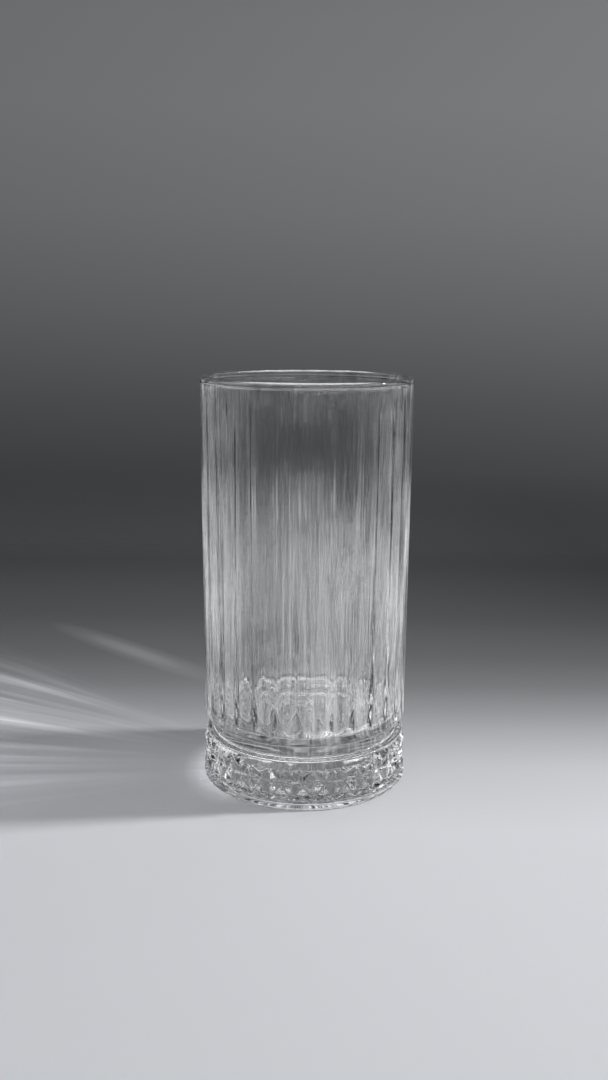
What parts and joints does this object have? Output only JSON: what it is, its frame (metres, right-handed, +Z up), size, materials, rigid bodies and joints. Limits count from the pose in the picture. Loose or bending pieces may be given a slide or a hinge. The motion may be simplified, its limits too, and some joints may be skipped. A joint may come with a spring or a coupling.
{
  "type": "highball glass",
  "caption": "Tall straight-sided pressed drinking glass with upright ribs inside the body, a drawn-in waist and a thick diamond-cut foot.",
  "frame": {"origin": "centre of the plane that the glass stands on", "axes": "+Z up along the axis of the glass; -Y is the front, where a groove between two ribs and a star of the foot face the viewer"},
  "size_m": [0.0764, 0.0764, 0.1492],
  "materials": {
    "rim": "fire-polished clear soda-lime glass",
    "fluted_wall": "pressed clear glass, smooth outside, with upright ribs inside",
    "base_bowl": "thick pressed clear glass, smooth outside, with the ends of the ribs inside",
    "waist": "thick pressed clear glass, smooth",
    "foot_collar": "thick pressed clear glass, smooth",
    "diamond_band": "pressed clear glass with diamond points",
    "standing_ring": "pressed clear glass, smooth, flat ring below"
  },
  "bodies": {
    "root": {"rim": "rim", "fluted_wall": "fluted_wall", "base_bowl": "base_bowl", "waist": "waist", "foot_collar": "foot_collar", "diamond_band": "diamond_band", "standing_ring": "standing_ring"}
  },
  "joints": []
}
